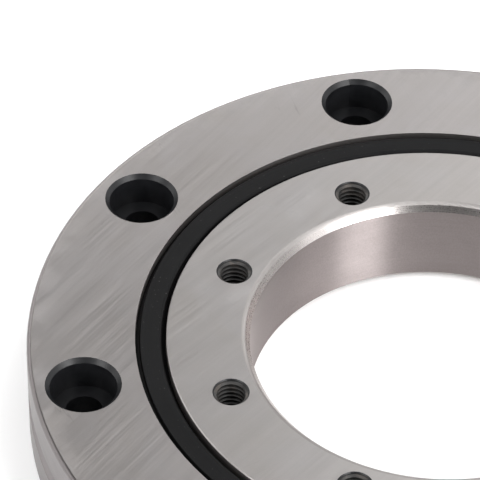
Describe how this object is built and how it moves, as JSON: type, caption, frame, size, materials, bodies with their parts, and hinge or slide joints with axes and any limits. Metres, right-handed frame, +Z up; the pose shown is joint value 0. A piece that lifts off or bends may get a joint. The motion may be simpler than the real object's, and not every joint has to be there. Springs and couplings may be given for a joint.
{
  "type": "slewing ring bearing",
  "caption": "Crossed-roller slewing ring bearing: one-piece outer ring with counterbored holes, one-piece inner ring with tapped holes, rubber seals between.",
  "frame": {"origin": "centre of the bearing's lower face, on its axis", "axes": "+Z up along the bearing's axis, +X through one of the outer ring's counterbored holes"},
  "size_m": [0.12, 0.12, 0.015],
  "materials": {
    "ring_steel": "ground, satin",
    "seal_rubber": "matte",
    "roller_steel": "fine ground",
    "spacer_plastic": "moulded",
    "plug_steel": "ground with the ring"
  },
  "bodies": {
    "outer": {"outer_ring": "ring_steel", "upper_seal": "seal_rubber", "lower_seal": "seal_rubber", "loading_plug": "plug_steel", "plug_taper_pin": "plug_steel"},
    "inner": {"inner_ring": "ring_steel"},
    "roller_set": {"spacer_retainers": "spacer_plastic"},
    "roller_01": {"roller_01": "roller_steel"},
    "roller_02": {"roller_02": "roller_steel"},
    "roller_03": {"roller_03": "roller_steel"},
    "roller_04": {"roller_04": "roller_steel"},
    "roller_05": {"roller_05": "roller_steel"},
    "roller_06": {"roller_06": "roller_steel"},
    "roller_07": {"roller_07": "roller_steel"},
    "roller_08": {"roller_08": "roller_steel"},
    "roller_09": {"roller_09": "roller_steel"},
    "roller_10": {"roller_10": "roller_steel"},
    "roller_11": {"roller_11": "roller_steel"},
    "roller_12": {"roller_12": "roller_steel"},
    "roller_13": {"roller_13": "roller_steel"},
    "roller_14": {"roller_14": "roller_steel"},
    "roller_15": {"roller_15": "roller_steel"},
    "roller_16": {"roller_16": "roller_steel"},
    "roller_17": {"roller_17": "roller_steel"},
    "roller_18": {"roller_18": "roller_steel"},
    "roller_19": {"roller_19": "roller_steel"},
    "roller_20": {"roller_20": "roller_steel"},
    "roller_21": {"roller_21": "roller_steel"},
    "roller_22": {"roller_22": "roller_steel"},
    "roller_23": {"roller_23": "roller_steel"},
    "roller_24": {"roller_24": "roller_steel"},
    "roller_25": {"roller_25": "roller_steel"},
    "roller_26": {"roller_26": "roller_steel"},
    "roller_27": {"roller_27": "roller_steel"},
    "roller_28": {"roller_28": "roller_steel"},
    "roller_29": {"roller_29": "roller_steel"},
    "roller_30": {"roller_30": "roller_steel"},
    "roller_31": {"roller_31": "roller_steel"},
    "roller_32": {"roller_32": "roller_steel"},
    "roller_33": {"roller_33": "roller_steel"},
    "roller_34": {"roller_34": "roller_steel"},
    "roller_35": {"roller_35": "roller_steel"},
    "roller_36": {"roller_36": "roller_steel"},
    "roller_37": {"roller_37": "roller_steel"},
    "roller_38": {"roller_38": "roller_steel"},
    "roller_39": {"roller_39": "roller_steel"},
    "roller_40": {"roller_40": "roller_steel"}
  },
  "joints": [
    {"name": "inner_ring_turn", "type": "hinge", "parent": "outer", "child": "inner", "pos_m": [0, 0, 0.0075], "axis": [0, 0, 1], "continuous": true},
    {"name": "roller_set_turn", "type": "hinge", "parent": "outer", "child": "roller_set", "pos_m": [0, 0, 0.0075], "axis": [0, 0, 1], "continuous": true},
    {"name": "roller_01_spin", "type": "hinge", "parent": "roller_set", "child": "roller_01", "pos_m": [0.0425, 0, 0.0075], "axis": [0.7071, 0, 0.7071], "continuous": true},
    {"name": "roller_02_spin", "type": "hinge", "parent": "roller_set", "child": "roller_02", "pos_m": [0.04198, 0.00665, 0.0075], "axis": [0.6984, 0.1106, -0.7071], "continuous": true},
    {"name": "roller_03_spin", "type": "hinge", "parent": "roller_set", "child": "roller_03", "pos_m": [0.04042, 0.01313, 0.0075], "axis": [0.6725, 0.2185, 0.7071], "continuous": true},
    {"name": "roller_04_spin", "type": "hinge", "parent": "roller_set", "child": "roller_04", "pos_m": [0.03787, 0.01929, 0.0075], "axis": [0.63, 0.321, -0.7071], "continuous": true},
    {"name": "roller_05_spin", "type": "hinge", "parent": "roller_set", "child": "roller_05", "pos_m": [0.03438, 0.02498, 0.0075], "axis": [0.5721, 0.4156, 0.7071], "continuous": true},
    {"name": "roller_06_spin", "type": "hinge", "parent": "roller_set", "child": "roller_06", "pos_m": [0.03005, 0.03005, 0.0075], "axis": [0.5, 0.5, -0.7071], "continuous": true},
    {"name": "roller_07_spin", "type": "hinge", "parent": "roller_set", "child": "roller_07", "pos_m": [0.02498, 0.03438, 0.0075], "axis": [0.4156, 0.5721, 0.7071], "continuous": true},
    {"name": "roller_08_spin", "type": "hinge", "parent": "roller_set", "child": "roller_08", "pos_m": [0.01929, 0.03787, 0.0075], "axis": [0.321, 0.63, -0.7071], "continuous": true},
    {"name": "roller_09_spin", "type": "hinge", "parent": "roller_set", "child": "roller_09", "pos_m": [0.01313, 0.04042, 0.0075], "axis": [0.2185, 0.6725, 0.7071], "continuous": true},
    {"name": "roller_10_spin", "type": "hinge", "parent": "roller_set", "child": "roller_10", "pos_m": [0.00665, 0.04198, 0.0075], "axis": [0.1106, 0.6984, -0.7071], "continuous": true},
    {"name": "roller_11_spin", "type": "hinge", "parent": "roller_set", "child": "roller_11", "pos_m": [0, 0.0425, 0.0075], "axis": [0, 0.7071, 0.7071], "continuous": true},
    {"name": "roller_12_spin", "type": "hinge", "parent": "roller_set", "child": "roller_12", "pos_m": [-0.00665, 0.04198, 0.0075], "axis": [-0.1106, 0.6984, -0.7071], "continuous": true},
    {"name": "roller_13_spin", "type": "hinge", "parent": "roller_set", "child": "roller_13", "pos_m": [-0.01313, 0.04042, 0.0075], "axis": [-0.2185, 0.6725, 0.7071], "continuous": true},
    {"name": "roller_14_spin", "type": "hinge", "parent": "roller_set", "child": "roller_14", "pos_m": [-0.01929, 0.03787, 0.0075], "axis": [-0.321, 0.63, -0.7071], "continuous": true},
    {"name": "roller_15_spin", "type": "hinge", "parent": "roller_set", "child": "roller_15", "pos_m": [-0.02498, 0.03438, 0.0075], "axis": [-0.4156, 0.5721, 0.7071], "continuous": true},
    {"name": "roller_16_spin", "type": "hinge", "parent": "roller_set", "child": "roller_16", "pos_m": [-0.03005, 0.03005, 0.0075], "axis": [-0.5, 0.5, -0.7071], "continuous": true},
    {"name": "roller_17_spin", "type": "hinge", "parent": "roller_set", "child": "roller_17", "pos_m": [-0.03438, 0.02498, 0.0075], "axis": [-0.5721, 0.4156, 0.7071], "continuous": true},
    {"name": "roller_18_spin", "type": "hinge", "parent": "roller_set", "child": "roller_18", "pos_m": [-0.03787, 0.01929, 0.0075], "axis": [-0.63, 0.321, -0.7071], "continuous": true},
    {"name": "roller_19_spin", "type": "hinge", "parent": "roller_set", "child": "roller_19", "pos_m": [-0.04042, 0.01313, 0.0075], "axis": [-0.6725, 0.2185, 0.7071], "continuous": true},
    {"name": "roller_20_spin", "type": "hinge", "parent": "roller_set", "child": "roller_20", "pos_m": [-0.04198, 0.00665, 0.0075], "axis": [-0.6984, 0.1106, -0.7071], "continuous": true},
    {"name": "roller_21_spin", "type": "hinge", "parent": "roller_set", "child": "roller_21", "pos_m": [-0.0425, 0, 0.0075], "axis": [-0.7071, 0, 0.7071], "continuous": true},
    {"name": "roller_22_spin", "type": "hinge", "parent": "roller_set", "child": "roller_22", "pos_m": [-0.04198, -0.00665, 0.0075], "axis": [-0.6984, -0.1106, -0.7071], "continuous": true},
    {"name": "roller_23_spin", "type": "hinge", "parent": "roller_set", "child": "roller_23", "pos_m": [-0.04042, -0.01313, 0.0075], "axis": [-0.6725, -0.2185, 0.7071], "continuous": true},
    {"name": "roller_24_spin", "type": "hinge", "parent": "roller_set", "child": "roller_24", "pos_m": [-0.03787, -0.01929, 0.0075], "axis": [-0.63, -0.321, -0.7071], "continuous": true},
    {"name": "roller_25_spin", "type": "hinge", "parent": "roller_set", "child": "roller_25", "pos_m": [-0.03438, -0.02498, 0.0075], "axis": [-0.5721, -0.4156, 0.7071], "continuous": true},
    {"name": "roller_26_spin", "type": "hinge", "parent": "roller_set", "child": "roller_26", "pos_m": [-0.03005, -0.03005, 0.0075], "axis": [-0.5, -0.5, -0.7071], "continuous": true},
    {"name": "roller_27_spin", "type": "hinge", "parent": "roller_set", "child": "roller_27", "pos_m": [-0.02498, -0.03438, 0.0075], "axis": [-0.4156, -0.5721, 0.7071], "continuous": true},
    {"name": "roller_28_spin", "type": "hinge", "parent": "roller_set", "child": "roller_28", "pos_m": [-0.01929, -0.03787, 0.0075], "axis": [-0.321, -0.63, -0.7071], "continuous": true},
    {"name": "roller_29_spin", "type": "hinge", "parent": "roller_set", "child": "roller_29", "pos_m": [-0.01313, -0.04042, 0.0075], "axis": [-0.2185, -0.6725, 0.7071], "continuous": true},
    {"name": "roller_30_spin", "type": "hinge", "parent": "roller_set", "child": "roller_30", "pos_m": [-0.00665, -0.04198, 0.0075], "axis": [-0.1106, -0.6984, -0.7071], "continuous": true},
    {"name": "roller_31_spin", "type": "hinge", "parent": "roller_set", "child": "roller_31", "pos_m": [0, -0.0425, 0.0075], "axis": [0, -0.7071, 0.7071], "continuous": true},
    {"name": "roller_32_spin", "type": "hinge", "parent": "roller_set", "child": "roller_32", "pos_m": [0.00665, -0.04198, 0.0075], "axis": [0.1106, -0.6984, -0.7071], "continuous": true},
    {"name": "roller_33_spin", "type": "hinge", "parent": "roller_set", "child": "roller_33", "pos_m": [0.01313, -0.04042, 0.0075], "axis": [0.2185, -0.6725, 0.7071], "continuous": true},
    {"name": "roller_34_spin", "type": "hinge", "parent": "roller_set", "child": "roller_34", "pos_m": [0.01929, -0.03787, 0.0075], "axis": [0.321, -0.63, -0.7071], "continuous": true},
    {"name": "roller_35_spin", "type": "hinge", "parent": "roller_set", "child": "roller_35", "pos_m": [0.02498, -0.03438, 0.0075], "axis": [0.4156, -0.5721, 0.7071], "continuous": true},
    {"name": "roller_36_spin", "type": "hinge", "parent": "roller_set", "child": "roller_36", "pos_m": [0.03005, -0.03005, 0.0075], "axis": [0.5, -0.5, -0.7071], "continuous": true},
    {"name": "roller_37_spin", "type": "hinge", "parent": "roller_set", "child": "roller_37", "pos_m": [0.03438, -0.02498, 0.0075], "axis": [0.5721, -0.4156, 0.7071], "continuous": true},
    {"name": "roller_38_spin", "type": "hinge", "parent": "roller_set", "child": "roller_38", "pos_m": [0.03787, -0.01929, 0.0075], "axis": [0.63, -0.321, -0.7071], "continuous": true},
    {"name": "roller_39_spin", "type": "hinge", "parent": "roller_set", "child": "roller_39", "pos_m": [0.04042, -0.01313, 0.0075], "axis": [0.6725, -0.2185, 0.7071], "continuous": true},
    {"name": "roller_40_spin", "type": "hinge", "parent": "roller_set", "child": "roller_40", "pos_m": [0.04198, -0.00665, 0.0075], "axis": [0.6984, -0.1106, -0.7071], "continuous": true}
  ],
  "couplings": [
    {"joint": "roller_set_turn", "follows": "inner_ring_turn", "ratio": 0.4792},
    {"joint": "roller_01_spin", "follows": "inner_ring_turn", "ratio": -8.4853},
    {"joint": "roller_02_spin", "follows": "inner_ring_turn", "ratio": 8.4853},
    {"joint": "roller_03_spin", "follows": "inner_ring_turn", "ratio": -8.4853},
    {"joint": "roller_04_spin", "follows": "inner_ring_turn", "ratio": 8.4853},
    {"joint": "roller_05_spin", "follows": "inner_ring_turn", "ratio": -8.4853},
    {"joint": "roller_06_spin", "follows": "inner_ring_turn", "ratio": 8.4853},
    {"joint": "roller_07_spin", "follows": "inner_ring_turn", "ratio": -8.4853},
    {"joint": "roller_08_spin", "follows": "inner_ring_turn", "ratio": 8.4853},
    {"joint": "roller_09_spin", "follows": "inner_ring_turn", "ratio": -8.4853},
    {"joint": "roller_10_spin", "follows": "inner_ring_turn", "ratio": 8.4853},
    {"joint": "roller_11_spin", "follows": "inner_ring_turn", "ratio": -8.4853},
    {"joint": "roller_12_spin", "follows": "inner_ring_turn", "ratio": 8.4853},
    {"joint": "roller_13_spin", "follows": "inner_ring_turn", "ratio": -8.4853},
    {"joint": "roller_14_spin", "follows": "inner_ring_turn", "ratio": 8.4853},
    {"joint": "roller_15_spin", "follows": "inner_ring_turn", "ratio": -8.4853},
    {"joint": "roller_16_spin", "follows": "inner_ring_turn", "ratio": 8.4853},
    {"joint": "roller_17_spin", "follows": "inner_ring_turn", "ratio": -8.4853},
    {"joint": "roller_18_spin", "follows": "inner_ring_turn", "ratio": 8.4853},
    {"joint": "roller_19_spin", "follows": "inner_ring_turn", "ratio": -8.4853},
    {"joint": "roller_20_spin", "follows": "inner_ring_turn", "ratio": 8.4853},
    {"joint": "roller_21_spin", "follows": "inner_ring_turn", "ratio": -8.4853},
    {"joint": "roller_22_spin", "follows": "inner_ring_turn", "ratio": 8.4853},
    {"joint": "roller_23_spin", "follows": "inner_ring_turn", "ratio": -8.4853},
    {"joint": "roller_24_spin", "follows": "inner_ring_turn", "ratio": 8.4853},
    {"joint": "roller_25_spin", "follows": "inner_ring_turn", "ratio": -8.4853},
    {"joint": "roller_26_spin", "follows": "inner_ring_turn", "ratio": 8.4853},
    {"joint": "roller_27_spin", "follows": "inner_ring_turn", "ratio": -8.4853},
    {"joint": "roller_28_spin", "follows": "inner_ring_turn", "ratio": 8.4853},
    {"joint": "roller_29_spin", "follows": "inner_ring_turn", "ratio": -8.4853},
    {"joint": "roller_30_spin", "follows": "inner_ring_turn", "ratio": 8.4853},
    {"joint": "roller_31_spin", "follows": "inner_ring_turn", "ratio": -8.4853},
    {"joint": "roller_32_spin", "follows": "inner_ring_turn", "ratio": 8.4853},
    {"joint": "roller_33_spin", "follows": "inner_ring_turn", "ratio": -8.4853},
    {"joint": "roller_34_spin", "follows": "inner_ring_turn", "ratio": 8.4853},
    {"joint": "roller_35_spin", "follows": "inner_ring_turn", "ratio": -8.4853},
    {"joint": "roller_36_spin", "follows": "inner_ring_turn", "ratio": 8.4853},
    {"joint": "roller_37_spin", "follows": "inner_ring_turn", "ratio": -8.4853},
    {"joint": "roller_38_spin", "follows": "inner_ring_turn", "ratio": 8.4853},
    {"joint": "roller_39_spin", "follows": "inner_ring_turn", "ratio": -8.4853},
    {"joint": "roller_40_spin", "follows": "inner_ring_turn", "ratio": 8.4853}
  ]
}
